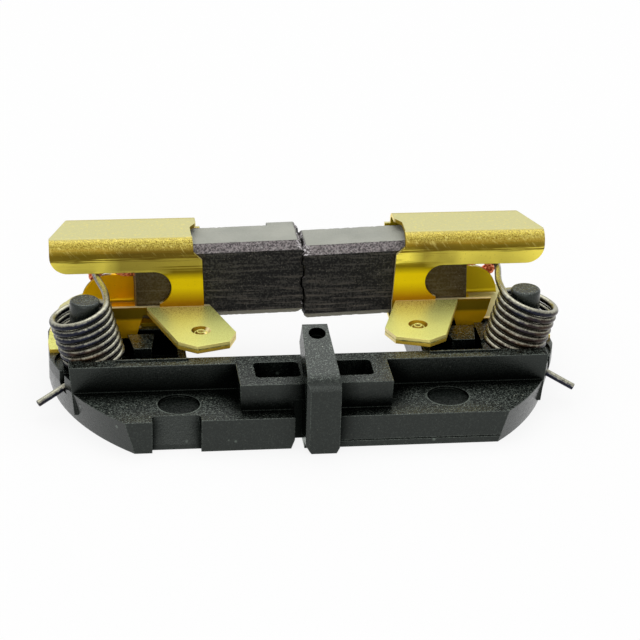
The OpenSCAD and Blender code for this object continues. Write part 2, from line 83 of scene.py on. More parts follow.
def srgb(r, g, b):
    """A colour given as 0 to 255 screen values, in linear light."""
    def channel(v):
        v /= 255.0
        return v / 12.92 if v <= 0.04045 else ((v + 0.055) / 1.055) ** 2.4
    return (channel(r), channel(g), channel(b))


def mirror_sign(side):
    return -1.0 if side == "left" else 1.0


# ---- settings ----

def colour_setting(name, description, *screen):
    return bpy.props.FloatVectorProperty(
        name=name, description=description, subtype="COLOR", size=3, default=srgb(*screen), min=0, max=1)


def length_setting(name, description, millimetres, **limits):
    return bpy.props.FloatProperty(
        name=name, description=description, default=millimetres * MM, unit="LENGTH", precision=5, **limits)


def angle_setting(name, description, degrees):
    return bpy.props.FloatProperty(
        name=name, description=description, default=math.radians(degrees), subtype="ANGLE")


def share_setting(name, description, share, least=0.0):
    return bpy.props.FloatProperty(name=name, description=description, default=share, min=least, max=1)


def light_setting(name, description, level, **unit):
    return bpy.props.FloatProperty(name=name, description=description, default=level, min=0, max=5, **unit)


def count_setting(name, description, count, most):
    return bpy.props.IntProperty(name=name, description=description, default=count, min=3, max=most)


class BrassSettings(bpy.types.PropertyGroup):
    # top and tab are painted light on up-facing faces, pale a painted reflection along the skirt, bend and
    # low painted shade, inside a painted warm reflection; front is the walls' own gold
    top: colour_setting("Top", "Brass where it faces up", 198, 196, 152)
    bend: colour_setting("Bend", "Darker brass under the front bend", 126, 106, 26)
    pale: colour_setting("Pale", "Pale brass along the skirt's lower part", 250, 232, 96)
    tab: colour_setting("Tab", "Brass of the terminal tabs", 233, 236, 148)
    front: colour_setting("Front", "Brass of the upright walls", 220, 192, 4)
    low: colour_setting("Low", "Deep gold at the foot of the walls", 156, 104, 2)
    inside: colour_setting("Inside", "Warm brass inside the left box", 255, 200, 6)
    sheet: length_setting("Sheet", "Thickness of the sheet", 0.4)
    tab_top: length_setting("Tab top", "Height of the tabs' upper faces", 7.35)
    metal: share_setting("Metal", "How metallic the sheet looks", 0.72)
    roughness: share_setting("Roughness", "Roughness of the sheet", 0.42, 0.05)


class BaseSettings(bpy.types.PropertyGroup):
    colour: colour_setting("Colour", "Colour of the moulded base", 10, 14, 12)
    # painted glint: the pale colour the grain takes on up-facing faces
    painted_glint: colour_setting("Sparkle", "Colour of the pale grain", 108, 116, 108)
    roughness: share_setting("Roughness", "Roughness of the moulding", 0.24, 0.05)
    # painted shade: how far the painted darkness of a hollow reaches out of it
    hollow: length_setting("Hollow reach", "How far a hollow's darkness reaches out of it", 3.0)
    edge: length_setting("Edge radius", "Radius of the moulding's edges", 0.14, min=0, max=1 * MM)
    mark_x: length_setting("Mark out", "Distance of an ejector mark from the middle plane", 13.47)
    mark_y: length_setting("Mark back", "Place of the ejector marks behind the wall's front face", -3.0)
    mark_r: length_setting("Mark radius", "Radius of the ejector marks", 2.1)


class BrushSettings(bpy.types.PropertyGroup):
    width: length_setting("Width", "Thickness of a brush", 5.7)
    height: length_setting("Height", "Height of a brush", 8.25)
    length: length_setting("Length", "Length of a brush", 17.2)
    chamfer: length_setting("Chamfer", "Chamfer of the long edges", 0.8)
    left_tilt: angle_setting("Left tilt", "Tilt of the left brush", 1.2)
    right_tilt: angle_setting("Right tilt", "Tilt of the right brush", 1.95)
    square: length_setting("Square length", "Length of square back edge at the left brush's contact end", 3.2)
    hole_y: length_setting("Hole back", "Braid hole's distance behind the brush's middle plane", 1.25)
    hole_z: length_setting("Hole height", "Braid hole's height above the brush's lower face", 4.1)
    end_cut: length_setting("End cut", "Corners ground off above and below the contact face", 0.45)
    chips: length_setting("Chips", "Depth of the chips at the contact end", 0.3, min=0, max=0.5 * MM)
    stand_back: length_setting("Stand back", "How far the contact faces stand back on the whole", 0.05,
                               min=0, max=0.5 * MM)
    colour: colour_setting("Colour", "Colour of the pressed carbon", 38, 36, 30)


class SpringSettings(bpy.types.PropertyGroup):
    wire: length_setting("Wire", "Diameter of the wire", 0.7)
    radius: length_setting("Coil radius", "Mean radius of the coil", 2.87)
    turns: count_setting("Turns", "Full turns", 7, 8)
    lean: angle_setting("Lean", "Outward lean of the coil", 16)
    post_x: length_setting("Post out", "Distance of a post from the middle plane", 22.34)
    post_y: length_setting("Post back", "Distance of a post behind the wall's front face", 4.33)
    deck: length_setting("Deck", "Height of the wing decks", DECK)
    wall: length_setting("Box wall", "Distance of the boxes' front walls behind the base's front wall", 11.3)
    leg: length_setting("Leg", "Height of the leg that presses on the brush", 10.8)
    # painted light: the colour of the wire where it faces up
    colour: colour_setting("Colour", "Colour of the wire", 168, 166, 148)


class BraidSettings(bpy.types.PropertyGroup):
    diameter: length_setting("Diameter", "Diameter of the braid", 1.3)
    deck: length_setting("Deck", "Height of the wing decks", DECK)
    wall: length_setting("Back wall", "Distance of the boxes' back walls behind the base's front wall", 18.4)
    strands: count_setting("Strands", "Strands in each direction", 6, 12)
    lay: length_setting("Lay", "Length of braid in which a strand goes round once", 4.6)
    colour: colour_setting("Colour", "Colour of the copper", 236, 152, 112)


class StageSettings(bpy.types.PropertyGroup):
    floor: bpy.props.FloatVectorProperty(
        name="Floor", description="Colour of the floor", subtype="COLOR", size=3,
        default=(0.92, 0.92, 0.92), min=0, max=1)
    sky: light_setting("Sky", "Level of the even light all round", 0.62)
    key: light_setting("Key", "Power of the soft box above", 0.7, unit="POWER")
    fill: light_setting("Fill", "Power of the pale card in front", 0.5, unit="POWER")


# ---- node helpers ----

def new_material(name, values):
    """A material, its node tree and its shader, with the shader's fixed values set."""
    mat = bpy.data.materials.new(name)
    mat.use_nodes = True
    shader = mat.node_tree.nodes["Principled BSDF"]
    for key, value in values.items():
        shader.inputs[key].default_value = value
    return mat, mat.node_tree, shader


def add(tree, kind, values=None, **settings):
    node = tree.nodes.new("ShaderNode" + kind)
    for key, value in settings.items():
        setattr(node, key, value)
    for key, value in (values or {}).items():
        node.inputs[key].default_value = value
    return node


def join(tree, pairs):
    for source, target in pairs:
        tree.links.new(source, target)


def feed(socket, value):
    """Joins another node's output to a socket, or sets the socket to a number or a colour."""
    if isinstance(value, bpy.types.NodeSocket):
        socket.id_data.links.new(value, socket)
    elif isinstance(value, (int, float)):
        socket.default_value = value
    else:
        socket.default_value = (*value[:3], 1.0)


def math_node(operation, *values):
    tree = next(value.id_data for value in values if isinstance(value, bpy.types.NodeSocket))
    node = add(tree, "Math", operation=operation)
    for socket, value in zip(node.inputs, values):
        feed(socket, value)
    return node.outputs[0]


def times(product, *factors):
    """The product of two or more masks."""
    for factor in factors:
        product = math_node("MULTIPLY", product, factor)
    return product


def apart(value, middle=0.0):
    """How far a value is from the middle, on either side."""
    return math_node("ABSOLUTE", math_node("SUBTRACT", value, middle))


def span(value, low, high, to_low=0.0, to_high=1.0):
    """Maps value from low..high, clamped."""
    ends = {"From Min": low, "From Max": high, "To Min": to_low, "To Max": to_high}
    node = add(value.id_data, "MapRange", ends)
    feed(node.inputs["Value"], value)
    return node.outputs[0]


def zone(distance, low, high, *ends):
    """Maps a distance from low..high in millimetres, clamped."""
    return span(distance, low * MM, high * MM, *ends)


def blend_colour(factor, first, second):
    node = add(factor.id_data, "Mix", data_type="RGBA")
    for number, value in ((0, factor), (6, first), (7, second)):
        feed(node.inputs[number], value)
    return node.outputs[2]


def tint(colour, mask, paint, strength=1.0):
    """Lays a paint over the colour where the mask shows it."""
    if strength != 1.0:
        mask = times(mask, strength)
    return blend_colour(mask, colour, paint)


def ramp(distance, low, high, stops):
    """Colours by a distance from low..high, which the stops give in millimetres too."""
    node = add(distance.id_data, "ValToRGB")
    elements = node.color_ramp.elements
    while len(elements) < len(stops):
        elements.new(0.5)
    for element, (place, colour) in zip(elements, stops):
        element.position = (place - low) / (high - low)
        element.color = (*colour[:3], 1.0)
    feed(node.inputs[0], zone(distance, low, high))
    return node.outputs[0]


def new_group(name, inputs, outputs):
    group = bpy.data.node_groups.new(name, "ShaderNodeTree")
    for label, kind, default in inputs:
        socket = group.interface.new_socket(name=label, in_out="INPUT", socket_type=kind)
        socket.default_value = default
    for label in outputs:
        group.interface.new_socket(name=label, in_out="OUTPUT", socket_type="NodeSocketFloat")
    return group, group.nodes.new("NodeGroupInput"), group.nodes.new("NodeGroupOutput")


def grain_group(name):
    """Fine surface grain: a height that varies, a mask of scattered bright specks, and a slow cloud."""
    group, start, end = new_group(
        name,
        [("Vector", "NodeSocketVector", (0, 0, 0)), ("Size", "NodeSocketFloat", 0.1 * MM),
         ("Speck share", "NodeSocketFloat", 0.1)],
        ["Height", "Specks", "Cloud"])
    vector = start.outputs["Vector"]
    scale = math_node("DIVIDE", 1.0, start.outputs["Size"])
    fine = add(group, "TexNoise", {"Detail": 2.0, "Roughness": 0.6})
    cells = add(group, "TexVoronoi", feature="F1")
    cloud = add(group, "TexNoise", {"Detail": 3.0})
    join(group, [(vector, fine.inputs["Vector"]), (scale, fine.inputs["Scale"]),
                 (vector, cells.inputs["Vector"]), (times(scale, 0.5), cells.inputs["Scale"]),
                 (vector, cloud.inputs["Vector"]), (times(scale, 0.06), cloud.inputs["Scale"])])
    pick = add(group, "SeparateColor")
    feed(pick.inputs[0], cells.outputs["Color"])
    chosen = math_node("LESS_THAN", pick.outputs[0], start.outputs["Speck share"])
    specks = times(chosen, span(cells.outputs["Distance"], 0.32, 0.16))
    join(group, [(fine.outputs["Fac"], end.inputs["Height"]), (specks, end.inputs["Specks"]),
                 (cloud.outputs["Fac"], end.inputs["Cloud"])])
    return group


def scratch_group(name):
    """Fine scratches that run along one direction: a height and a mask."""
    group, start, end = new_group(
        name,
        [("Vector", "NodeSocketVector", (0, 0, 0)), ("Scale", "NodeSocketFloat", 4000.0),
         ("Stretch", "NodeSocketVector", (0.06, 1, 1)), ("Turn", "NodeSocketFloat", 0.0)],
        ["Height", "Mask"])
    turn = add(group, "VectorRotate", rotation_type="Y_AXIS")
    scale = add(group, "VectorMath", operation="MULTIPLY")
    texture = add(group, "TexNoise", {"Detail": 4.0, "Roughness": 0.62})
    given = start.outputs
    join(group, [(given["Vector"], turn.inputs["Vector"]), (given["Turn"], turn.inputs["Angle"]),
                 (turn.outputs[0], scale.inputs[0]), (given["Stretch"], scale.inputs[1]),
                 (scale.outputs[0], texture.inputs["Vector"]), (given["Scale"], texture.inputs["Scale"])])
    mask = span(texture.outputs["Fac"], 0.55, 0.68)
    join(group, [(texture.outputs["Fac"], end.inputs["Height"]), (mask, end.inputs["Mask"])])
    return group


def use_group(tree, name, build, spot, values):
    """Outputs of a shared node group, which is built when it is first used."""
    group = bpy.data.node_groups.get(name) or build(name)
    node = add(tree, "Group", values, node_tree=group)
    feed(node.inputs["Vector"], spot)
    return node.outputs


def grain_at(tree, spot, size, specks=0.02):
    """Surface grain of a size in millimetres, with specks in a share of its cells."""
    values = {"Size": size * MM, "Speck share": specks}
    return use_group(tree, "Surface grain", grain_group, spot, values)


def scratch_at(tree, spot, scale, stretch, degrees=0):
    """Fine scratches, scale of them to the metre, drawn out by stretch and turned."""
    values = {"Scale": scale, "Stretch": stretch, "Turn": math.radians(degrees)}
    return use_group(tree, "Fine scratches", scratch_group, spot, values)


def facing_and_place(tree):
    """Object coordinates, the axes of the surface's direction, and the axes of its place."""
    where = add(tree, "TexCoord")
    facing, place = add(tree, "SeparateXYZ"), add(tree, "SeparateXYZ")
    join(tree, [(where.outputs["Normal"], facing.inputs[0]), (where.outputs["Object"], place.inputs[0])])
    return where.outputs["Object"], facing.outputs, place.outputs


def softened_edge(tree, radius):
    """A softened edge normal, and a mask of the edges themselves."""
    edge = add(tree, "Bevel", {"Radius": radius}, samples=6)
    flat = add(tree, "NewGeometry")
    match = add(tree, "VectorMath", operation="DOT_PRODUCT")
    join(tree, [(edge.outputs[0], match.inputs[0]), (flat.outputs["Normal"], match.inputs[1])])
    return edge.outputs[0], span(match.outputs["Value"], 0.995, 0.9)


def feed_shader(tree, shader, colour, rough, height, strength, depth, soft=None):
    """Joins a finish's colour, roughness and relief, with its depth in millimetres, to the shader."""
    bump = add(tree, "Bump", {"Strength": strength, "Distance": depth * MM})
    join(tree, [(colour, shader.inputs["Base Color"]), (rough, shader.inputs["Roughness"]),
                (height, bump.inputs["Height"]), (bump.outputs[0], shader.inputs["Normal"])])
    if soft is not None:
        feed(bump.inputs["Normal"], soft)


# ---- the moulding ----

def ejector_marks(place, settings):
    """Two masks: all that lies outside the round ejector marks, and their rims, which show most in front."""
    side = math_node("SUBTRACT", apart(place["X"]), settings.mark_x)
    along = math_node("SUBTRACT", place["Y"], settings.mark_y)
    away = math_node("SQRT", math_node("MULTIPLY_ADD", side, side, times(along, along)))
    outside = span(away, settings.mark_r - 0.05 * MM, settings.mark_r)
    near = span(away, settings.mark_r + 0.14 * MM, settings.mark_r + 0.06 * MM)
    return outside, times(outside, near, zone(along, 1.0, -1.5, 0.1, 1.0))


def base_plastic(settings):
    """Black glass-filled moulding, satin, with a fine grain, painted glints on its up-facing faces, painted
    highlights along its edges and painted shade in its corners and hollows.
    """
    mat, tree, shader = new_material(
        "Black moulding", {"Specular IOR Level": 0.42, "Specular Tint": (0.93, 1.0, 0.94, 1.0)})
    spot, facing, place = facing_and_place(tree)
    grain, coarse = grain_at(tree, spot, 0.15, 0.07), grain_at(tree, spot, 0.34)
    outside, rim = ejector_marks(place, settings)
    # painted glints: the grain and its specks turn pale only on up-facing faces, and less inside the ejector
    # marks
    up = times(span(facing["Z"], 0.6, 0.9, 0.1, 1.0), span(outside, 0, 1, 0.12, 1.0))
    painted_glint = times(span(grain["Height"], 0.5, 0.7), up)
    colour = blend_colour(painted_glint, settings.colour, settings.painted_glint)
    colour = tint(colour, times(grain["Specks"], up), srgb(150, 154, 140), 0.8)
    colour = tint(colour, coarse["Specks"], srgb(84, 92, 85))
    soft, edges = softened_edge(tree, settings.edge)
    # painted highlight: the moulding's edges are painted paler, broken up by the grain
    grainy_highlight = times(edges, span(grain["Height"], 0.35, 0.6))
    colour = tint(colour, grainy_highlight, srgb(104, 112, 104), 0.8)
    # painted highlight: the ejector marks' rims are painted pale where they face up on their front side
    colour = tint(colour, times(rim, span(facing["Z"], 0.6, 0.9)), srgb(112, 120, 112))
    # painted shade: corners and hollows of the moulding are painted nearly black and take the gloss down with
    # them
    hollow = add(tree, "AmbientOcclusion", {"Distance": settings.hollow}, samples=12, only_local=True)
    hollow_shade = span(hollow.outputs["AO"], 0.98, 0.6)
    colour = tint(colour, hollow_shade, srgb(6, 8, 7), 0.9)
    feed(shader.inputs["Metallic"], times(hollow_shade, 0.95))
    rough = span(coarse["Height"], 0.3, 0.7, settings.roughness - 0.06, settings.roughness + 0.1)
    height = math_node("MULTIPLY_ADD", coarse["Height"], 0.8, grain["Height"])
    height = times(height, span(up, 0, 1, 0.45, 1.0))
    feed_shader(tree, shader, colour, rough, height, 0.55, 0.05, soft)
    return mat


# ---- the brass, with places measured from the middle plane, the base's front wall and its underside ----

def wall_by_height(place, streak, settings):
    """Colour of the upright walls by height: their own gold in bands of painted light and shade, a darker
    gold foot, a pale painted reflection along the skirt's lower part and painted shade under the bend,
    wavering with the rolling streaks above the slots.
    """
    waver = math_node("MULTIPLY_ADD", streak["Height"], 2.4 * MM, -1.2 * MM)
    waver = times(waver, zone(place["Z"], 11.2, 11.7))
    height = math_node("ADD", place["Z"], waver)
    colour = ramp(height, 7.0, 15.0, [
        (7.0, srgb(132, 108, 12)), (7.64, settings.low), (9.4, settings.front), (10.36, settings.front),
        (11.24, srgb(120, 102, 6)), (11.48, srgb(150, 132, 22)), (11.8, settings.pale),
        (12.6, settings.pale), (12.92, settings.bend), (13.4, settings.bend),
        (13.8, srgb(138, 108, 22)), (14.4, srgb(152, 126, 36))])
    # painted reflection: on the outer parts the skirt's pale band reaches lower
    outer_part = zone(apart(place["X"]), 13.0, 15.5)
    skirt_foot = times(outer_part, zone(height, 11.0, 11.2), zone(height, 12.4, 12.1))
    return tint(colour, skirt_foot, settings.pale)


def shade_patches(place, cloud):
    """Mask of painted shade in brown patches: a long one on the left skirt and a short one on the right."""
    left_middle, left_half, right_middle = -14.4 * MM, 2.8 * MM, 14.2 * MM
    near_left = math_node("SUBTRACT", apart(place["X"], left_middle), left_half)
    near = math_node("MINIMUM", near_left, apart(place["X"], right_middle))
    above_slots = zone(place["Z"], 10.9, 11.6)
    return times(zone(near, 2.9, 1.2), span(cloud, 0.3, 0.44), above_slots)


def tab_edge(height, settings, uneven):
    """The tab's two layers from the side: the bright upper one and the duller one below are painted light and
    shade, with a dark seam between.
    """
    below_top = math_node("SUBTRACT", settings.tab_top, height)
    lower = span(below_top, settings.sheet - 0.08 * MM, settings.sheet)
    from_seam = apart(below_top, settings.sheet)
    seam = zone(math_node("MULTIPLY_ADD", uneven, 0.12 * MM, from_seam), 0.13, 0.08)
    layers = blend_colour(lower, srgb(246, 232, 140), srgb(200, 168, 60))
    return tint(layers, seam, srgb(60, 42, 6))


def cut_edge_highlights(facing, place, tab):
    """Mask of the painted highlight on the bare cut edges: the floors' front lips beside the tabs, and the
    boxes' inner ends.
    """
    lip = times(span(facing["Z"], 0.8, 0.95), zone(place["Y"], 11.9, 11.75), zone(place["Z"], 8.0, 7.9))
    inner_end = times(zone(apart(place["X"]), 10.6, 10.4), span(apart(facing["X"]), 0.4, 0.6))
    return math_node("MAXIMUM", math_node("SUBTRACT", lip, tab), inner_end)


def sheet_brass(settings):
    """Half-hard sheet brass, gold on the walls, grainy round the bend and streaked on the skirt, with painted
    light and shade: pale painted reflections on top and along the skirt, painted shade under the bend.
    """
    mat, tree, shader = new_material(
        "Sheet brass", {"Metallic": settings.metal, "Specular Tint": (1.0, 0.86, 0.35, 1.0)})
    spot, facing, place = facing_and_place(tree)
    x, y, z, face_up = place["X"], place["Y"], place["Z"], facing["Z"]
    grain, wide = grain_at(tree, spot, 0.12, 0.16), grain_at(tree, spot, 0.6)
    streak = scratch_at(tree, spot, 5600.0, (0.03, 1, 1))
    hatch = scratch_at(tree, spot, 4200.0, (1, 1, 0.16), 38)
    wall = wall_by_height(place, streak, settings)
    # painted shade: brown patches darken the skirts above the slots
    wall = tint(wall, shade_patches(place, wide["Cloud"]), srgb(92, 72, 20), 0.68)
    # painted light: the back wall's inside is painted the warm colour of the light it catches
    inside = times(zone(y, 15.5, 17), span(facing["Y"], -0.5, -0.9))
    warm = blend_colour(zone(x, -2, 2), settings.inside, srgb(214, 188, 26))
    wall = tint(wall, inside, warm)
    # painted shade darkens the left box's front wall low down, and painted light makes both legs end in
    # bright gold
    front_wall = zone(y, 12.2, 12.0)
    dull = times(zone(x, 2, -2), front_wall, zone(z, 9.5, 8.0, 0.6, 1.5))
    wall = tint(wall, dull, srgb(40, 20, 0), 0.2)
    wall = tint(wall, times(zone(z, 6.15, 5.85), front_wall), srgb(236, 180, 14))
    # painted light: faces turned up are painted the pale colour of the light they reflect
    up = span(face_up, 0.8, 0.985)
    colour = tint(wall, up, settings.top)
    # painted light: the boxes' floors are painted the same warm colour
    floor = times(up, zone(z, 9.0, 8.6), zone(y, 11.9, 12.1), zone(apart(x), 19.2, 19.0))
    colour = tint(colour, floor, warm)
    # painted light on the tabs: their tops are painted a lit yellow, with painted shade broken up by the
    # grain towards their concave fold
    tab = zone(y, 11.28, 11.2)
    tab_face = times(tab, up)
    colour = tint(colour, tab_face, settings.tab)
    fold_shade = times(span(grain["Height"], 0.46, 0.66), zone(y, 7.5, 10.5, 0.2, 0.8))
    colour = tint(colour, times(tab_face, fold_shade), srgb(146, 128, 36))
    # painted light and shade on the tabs' edges, with the dark seam between their layers
    tab_side = times(tab, span(face_up, 0.6, 0.2))
    colour = tint(colour, tab_side, tab_edge(z, settings, wide["Height"]))
    # painted highlight: the cut edges are painted cream
    colour = tint(colour, cut_edge_highlights(facing, place, tab), srgb(255, 240, 184))
    # painted shade and a grainy painted highlight on the rounded bend, broken up by grain and slanting
    # scratches
    bent = times(span(face_up, 0.15, 0.75), span(face_up, 0.998, 0.96), zone(z, 12, 13))
    grainy_highlight = times(bent, span(grain["Height"], 0.36, 0.68))
    colour = tint(colour, bent, srgb(104, 84, 20), 0.75)
    colour = tint(colour, grainy_highlight, srgb(216, 200, 98))
    scratches = times(hatch["Mask"], zone(z, 12.8, 14.2))
    colour = tint(colour, scratches, srgb(236, 222, 130), 0.45)
    pits = times(grain["Specks"], span(face_up, 0.98, 0.9, 0.0, 0.2))
    colour = tint(colour, pits, srgb(104, 84, 24))
    rough = span(grain["Height"], 0.3, 0.7, settings.roughness - 0.08, settings.roughness + 0.12)
    relief = times(grain["Height"], span(bent, 0, 1, 0.5, 1.6))
    relief = math_node("MULTIPLY_ADD", streak["Height"], 0.8, relief)
    soft, _ = softened_edge(tree, 0.07 * MM)
    feed_shader(tree, shader, colour, rough, relief, 0.6, 0.03, soft)
    return mat


# ---- carbon, steel and copper ----

def rough_chamfer(colour, facing, place, wide, slant):
    """Broken, slantingly scored carbon on the upper chamfers, with bright chips beside the joint."""
    slope = times(span(facing["Z"], 0.35, 0.55), span(facing["Z"], 0.93, 0.85))
    broken = blend_colour(span(wide["Height"], 0.4, 0.62), srgb(58, 53, 54), srgb(136, 128, 128))
    broken = tint(broken, slant["Mask"], srgb(160, 156, 154), 0.8)
    colour = tint(colour, slope, broken)
    from_joint = apart(place["X"], 0.45 * MM)
    chipped = times(slope, zone(from_joint, 0.9, 0.2), span(wide["Height"], 0.5, 0.58))
    return tint(colour, chipped, srgb(214, 210, 212))


def pressed_carbon(settings):
    """Pressed carbon: dark and finely lined along its sides, painted pale grey on its ground top as a painted
    sheen.
    """
    mat, tree, shader = new_material("Pressed carbon", {"Specular IOR Level": 0.35})
    spot, facing, place = facing_and_place(tree)
    grain, wide = grain_at(tree, spot, 0.09, 0.07), grain_at(tree, spot, 0.2)
    streak = scratch_at(tree, spot, 3600.0, (0.06, 1, 1))
    slant = scratch_at(tree, spot, 3800.0, (1, 1, 0.2), -35)
    dark = tuple(c * 0.1 for c in settings.colour)
    mottle = math_node("MULTIPLY_ADD", wide["Height"], 0.6, times(streak["Height"], 0.5))
    colour = blend_colour(span(mottle, 0.5, 0.62), dark, settings.colour)
    lines = times(streak["Mask"], zone(place["Z"], 10.5, 8, 0.12, 0.4))
    colour = tint(colour, lines, srgb(110, 102, 92))
    # warm light from the brass where the brush stands inside its box
    boxed = zone(apart(place["X"]), 9.6, 11.5)
    colour = tint(colour, boxed, srgb(74, 58, 12), 0.6)
    # painted sheen: the ground top is painted pale grey where it faces up
    ground = blend_colour(span(wide["Cloud"], 0.3, 0.7), srgb(152, 154, 144), srgb(168, 169, 158))
    colour = tint(colour, span(facing["Z"], 0.9, 0.99), ground)
    colour = rough_chamfer(colour, facing, place, wide, slant)
    lower_chamfer = times(span(facing["Z"], -0.35, -0.55), span(facing["Z"], -0.95, -0.85))
    colour = tint(colour, lower_chamfer, srgb(104, 100, 80))
    colour = tint(colour, grain["Specks"], srgb(128, 122, 108), 0.5)
    _, edges = softened_edge(tree, 0.1 * MM)
    edges = math_node("MINIMUM", times(edges, 5.0), 1.0)
    broken = times(edges, span(wide["Height"], 0.36, 0.56))
    colour = tint(colour, broken, srgb(26, 24, 22), 0.8)
    dull = times(span(mottle, 0.6, 0.52), span(facing["Z"], 0.3, 0.2), 0.5)
    feed(shader.inputs["Metallic"], dull)
    rough = span(grain["Height"], 0.3, 0.7, 0.42, 0.62)
    height = math_node("ADD", times(grain["Height"], 0.7), streak["Height"])
    height = math_node("MULTIPLY_ADD", wide["Height"], 2.2, height)
    feed_shader(tree, shader, colour, rough, height, 0.7, 0.05)
    return mat


def spring_wire(settings):
    """Drawn spring wire with brown and blue temper tints; painted light makes its upper side bright and
    painted shade makes its underside nearly black.
    """
    mat, tree, shader = new_material("Spring wire", {"Metallic": 0.9})
    spot, facing, _ = facing_and_place(tree)
    grain, wide = grain_at(tree, spot, 0.09, 0.12), grain_at(tree, spot, 0.35)
    uneven = math_node("MULTIPLY_ADD", wide["Height"], 0.9, -0.45)
    # painted light and shade: bright where the wire faces up, nearly black below with the temper tints
    lit = span(math_node("ADD", facing["Z"], uneven), 0.3, 0.95)
    below = blend_colour(span(wide["Cloud"], 0.5, 0.64), srgb(30, 32, 44), srgb(56, 42, 28))
    colour = blend_colour(lit, below, settings.colour)
    colour = tint(colour, grain["Specks"], srgb(40, 34, 26), 0.7)
    rough = span(grain["Height"], 0.3, 0.7, 0.16, 0.36)
    feed_shader(tree, shader, colour, rough, grain["Height"], 0.5, 0.03)
    return mat


def copper_wire(settings):
    """Bare copper strands, salmon with redder hollows."""
    mat, tree, shader = new_material("Copper strands", {"Metallic": 0.8, "Roughness": 0.4})
    wide = grain_at(tree, add(tree, "TexCoord").outputs["Object"], 0.25)
    colour = blend_colour(span(wide["Height"], 0.4, 0.65), settings.colour, srgb(214, 104, 56))
    feed(shader.inputs["Base Color"], colour)
    return mat


def dress(obj, mat):
    obj.data.materials.clear()
    obj.data.materials.append(mat)


# ---- shapes ----

def new_object(name, bm, mat):
    mesh = bpy.data.meshes.new(name)
    bm.to_mesh(mesh)
    bm.free()
    obj = bpy.data.objects.new(name, mesh)
    bpy.context.scene.collection.objects.link(obj)
    dress(obj, mat)
    return obj


def smooth_piece(name, bm, mat, sharp):
    """A finished piece, smooth but for edges sharper than so many degrees."""
    piece = new_object(name, bm, mat)
    piece.data.shade_smooth()
    piece.data.set_sharp_from_angle(angle=math.radians(sharp))
    return piece


def smooth_path(points, steps):
    """Points of a smooth curve through the given ones."""
    out = []
    last = len(points) - 1
    for i in range(last):
        p0, p1, p2, p3 = (points[max(i - 1, 0)], points[i], points[i + 1], points[min(i + 2, last)])
        for j in range(steps):
            t = j / steps
            out.append(0.5 * (2 * p1 + (p2 - p0) * t + (2 * p0 - 5 * p1 + 4 * p2 - p3) * t * t
                              + (3 * p1 - p0 - 3 * p2 + p3) * t * t * t))
    out.append(points[last].copy())
    return out


def carried_frames(path):
    """Tangent and two cross directions at each point, carried along without twisting."""
    n = len(path)
    tangents = [(path[min(i + 1, n - 1)] - path[max(i - 1, 0)]).normalized() for i in range(n)]
    across = Vector((0, 0, 1)) if abs(tangents[0].z) < 0.8 else Vector((1, 0, 0))
    side = tangents[0].cross(across).normalized()
    frames = []
    for t in tangents:
        side = (side - t * side.dot(t)).normalized()
        frames.append((t, side, t.cross(side)))
    return frames


def band(bm, first, second):
    """Quads between two closed loops of the same number of points."""
    for k in range(len(first)):
        m = (k + 1) % len(first)
        bm.faces.new((first[k], first[m], second[m], second[k]))


def round_angles(count):
    return [2 * math.pi * k / count for k in range(count)]


def add_tube(bm, path, radius, sides, frames=None):
    """A closed round tube along path; radius may be a function of the share of its length."""
    frames = frames or carried_frames(path)
    size = radius if callable(radius) else (lambda share: radius)
    rings = []
    for i, (p, (_, u, v)) in enumerate(zip(path, frames)):
        r = size(i / (len(path) - 1))
        rings.append([bm.verts.new(p + r * (math.cos(a) * u + math.sin(a) * v)) for a in round_angles(sides)])
    for first, second in zip(rings, rings[1:]):
        band(bm, first, second)
    # each end is a shallow cone cut off flat
    cone_height, cone_share = 0.12, 0.8
    for end, sign in ((0, -1), (-1, 1)):
        p, ring = path[end], rings[end]
        out = sign * frames[end][0] * (cone_height * size(0 if end == 0 else 1))
        inner = [bm.verts.new(p + out + (q.co - p) * cone_share) for q in ring]
        if sign > 0:
            band(bm, ring, inner)
            bm.faces.new(inner)
        else:
            band(bm, inner, ring)
            bm.faces.new(list(reversed(inner)))


# ---- the brushes ----

def brush_tilt(side, settings):
    return settings.left_tilt if side == "left" else settings.right_tilt


def place_of_brush(side, settings):
    """Matrix that stands a brush, lying along +X with its contact end at X = 0, in its box."""
    low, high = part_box(side + "_carbon_brush")
    tilt = brush_tilt(side, settings)
    turn = Matrix.Rotation(-tilt, 4, "Y")
    if side == "left":
        # the contact end's lower corner is the rightmost point
        x, z = high.x, low.z + settings.length * math.sin(tilt)
        turn = turn @ Matrix.Scale(-1, 4, Vector((1, 0, 0)))
    else:
        x, z = low.x + settings.height * math.sin(tilt), low.z
    return Matrix.Translation(Vector((x, (low.y + high.y) / 2, z))) @ turn


def brush_outer_end(side):
    """Distance of a brush's outer end from the middle plane, at its lower edge."""
    settings = bpy.context.scene.holder_brush
    return abs((place_of_brush(side, settings) @ Vector((settings.length, 0, 0))).x)


